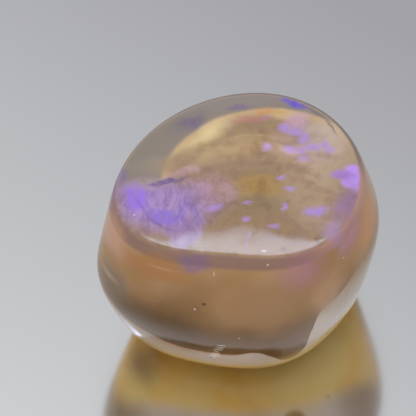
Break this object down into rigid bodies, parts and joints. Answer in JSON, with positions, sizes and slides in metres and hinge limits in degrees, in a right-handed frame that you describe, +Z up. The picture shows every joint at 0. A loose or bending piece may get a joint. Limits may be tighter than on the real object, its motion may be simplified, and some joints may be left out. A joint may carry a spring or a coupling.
{
  "type": "polished crystal opal",
  "caption": "Clear honey-coloured crystal opal, polished to a rounded freeform with a domed underside and a nearly flat face, to set in jewellery or display loose.",
  "frame": {"origin": "centre of the bounding box's bottom, on the surface that the stone's small foot stands on", "axes": "+Z up out of the nearly flat face, +Y the stone's longest way across, pointing away from the side it is seen from, +X to the right from that side"},
  "size_m": [0.01, 0.0106, 0.0071],
  "materials": {
    "opal": "glassy polish, see-through honey-brown body with violet play of colour"
  },
  "bodies": {
    "root": {"crystal_opal": "opal"}
  },
  "joints": []
}
